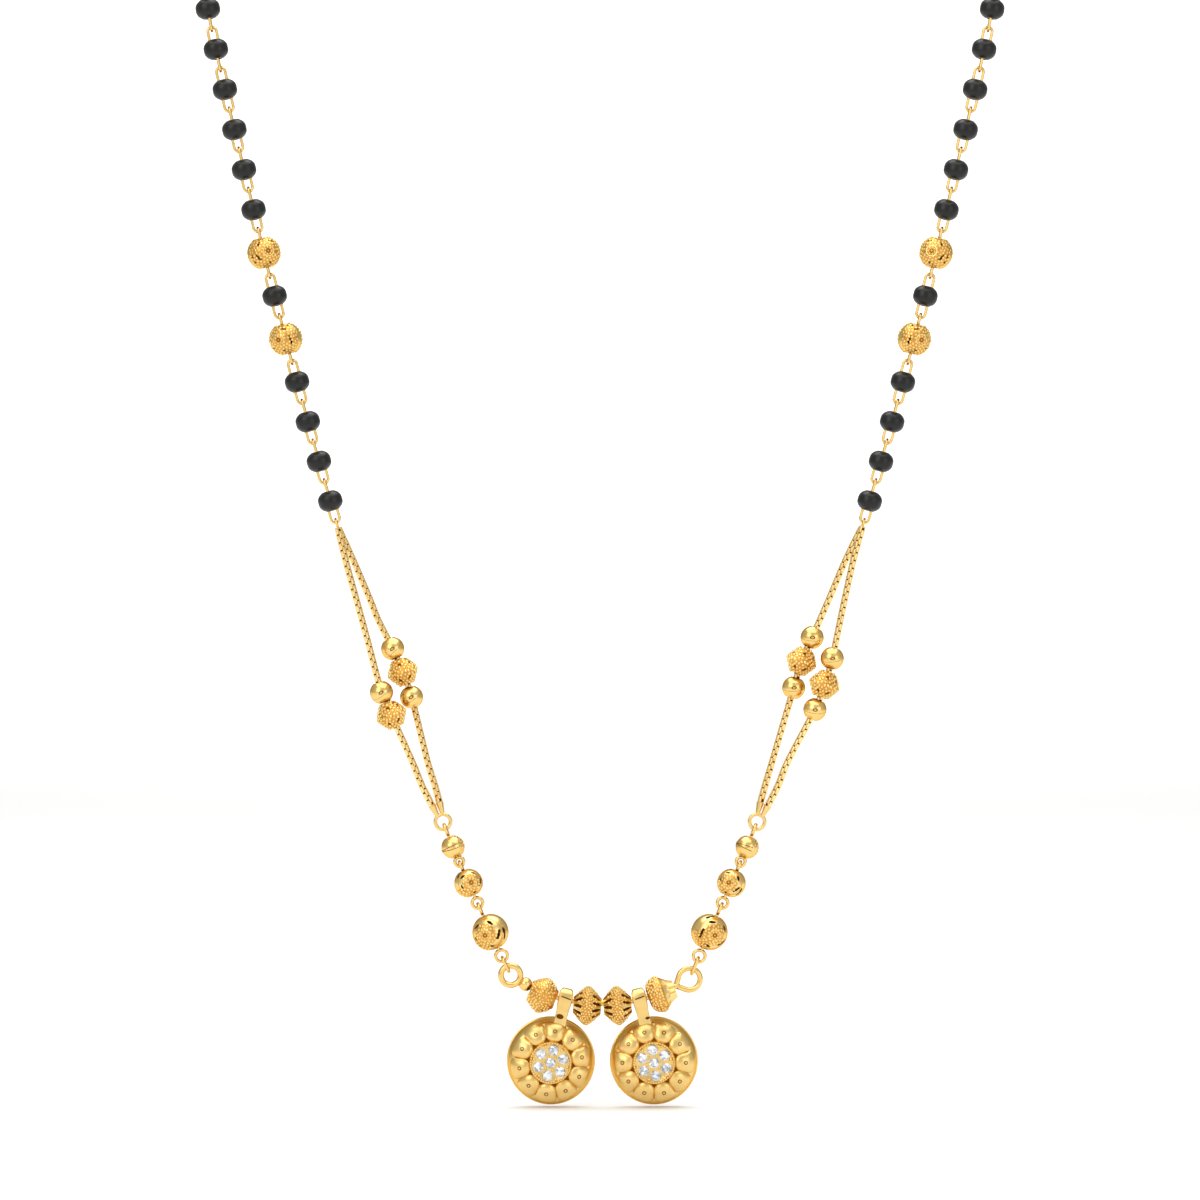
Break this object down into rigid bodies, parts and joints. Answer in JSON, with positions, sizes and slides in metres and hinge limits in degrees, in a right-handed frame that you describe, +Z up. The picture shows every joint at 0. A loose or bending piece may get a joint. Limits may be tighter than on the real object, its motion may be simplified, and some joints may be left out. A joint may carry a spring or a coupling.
{
  "type": "mangalsutra necklace",
  "caption": "Gold and black bead mangalsutra: linked bead string, paired box chains with gold beads, and two stone-set vati cups swinging on a curved centre bar.",
  "frame": {"origin": "middle of the clasp, where the necklace rests on the nape of the neck", "axes": "+Z up as it hangs on a wearer, front faces -Y, +X to the right as the viewer sees it from the front"},
  "size_m": [0.1202, 0.0949, 0.1806],
  "materials": {
    "polished_gold": "polished yellow gold",
    "satin_gold": "soft-polished yellow gold sheet",
    "black_glass": "black glass, soft gloss",
    "white_stone": "clear white cut stone"
  },
  "bodies": {
    "necklace": {"centre_wire": "polished_gold", "bead_inner_left": "polished_gold", "bead_inner_right": "polished_gold", "bead_outer_left": "polished_gold", "bead_outer_right": "polished_gold", "bar_link_left": "polished_gold", "bar_link_right": "polished_gold", "ball_large_left": "polished_gold", "ball_large_right": "polished_gold", "ball_medium_left": "polished_gold", "ball_medium_right": "polished_gold", "ball_small_left": "polished_gold", "ball_small_right": "polished_gold", "pin_large_left": "polished_gold", "pin_large_right": "polished_gold", "pin_medium_left": "polished_gold", "pin_medium_right": "polished_gold", "pin_small_left": "polished_gold", "pin_small_right": "polished_gold", "strand_ring_left": "polished_gold", "strand_ring_right": "polished_gold", "joint_ring_left": "polished_gold", "joint_ring_right": "polished_gold", "chain_outer_left": "polished_gold", "chain_outer_right": "polished_gold", "chain_inner_left": "polished_gold", "chain_inner_right": "polished_gold", "outer_plain_left": "polished_gold", "outer_grain_left": "polished_gold", "inner_plain_upper_left": "polished_gold", "inner_grain_left": "polished_gold", "inner_plain_lower_left": "polished_gold", "outer_plain_upper_right": "polished_gold", "outer_grain_right": "polished_gold", "outer_plain_lower_right": "polished_gold", "inner_plain_upper_right": "polished_gold", "inner_grain_right": "polished_gold", "inner_plain_lower_right": "polished_gold", "jali_balls_left": "polished_gold", "jali_balls_right": "polished_gold", "black_beads_left": "black_glass", "black_beads_right": "black_glass", "bead_pins_left": "polished_gold", "bead_pins_right": "polished_gold", "clasp": "polished_gold"},
    "vati_left": {"vati_left": "satin_gold", "stones_left": "white_stone"},
    "vati_right": {"vati_right": "satin_gold", "stones_right": "white_stone"}
  },
  "joints": [
    {"name": "vati_left_swing", "type": "hinge", "parent": "necklace", "child": "vati_left", "pos_m": [-0.00434, -0.091, -0.16587], "axis": [0.9744, 0, -0.225], "range_deg": [-50, 40]},
    {"name": "vati_right_swing", "type": "hinge", "parent": "necklace", "child": "vati_right", "pos_m": [0.00494, -0.091, -0.16587], "axis": [0.9744, 0, 0.225], "range_deg": [-50, 40]}
  ]
}
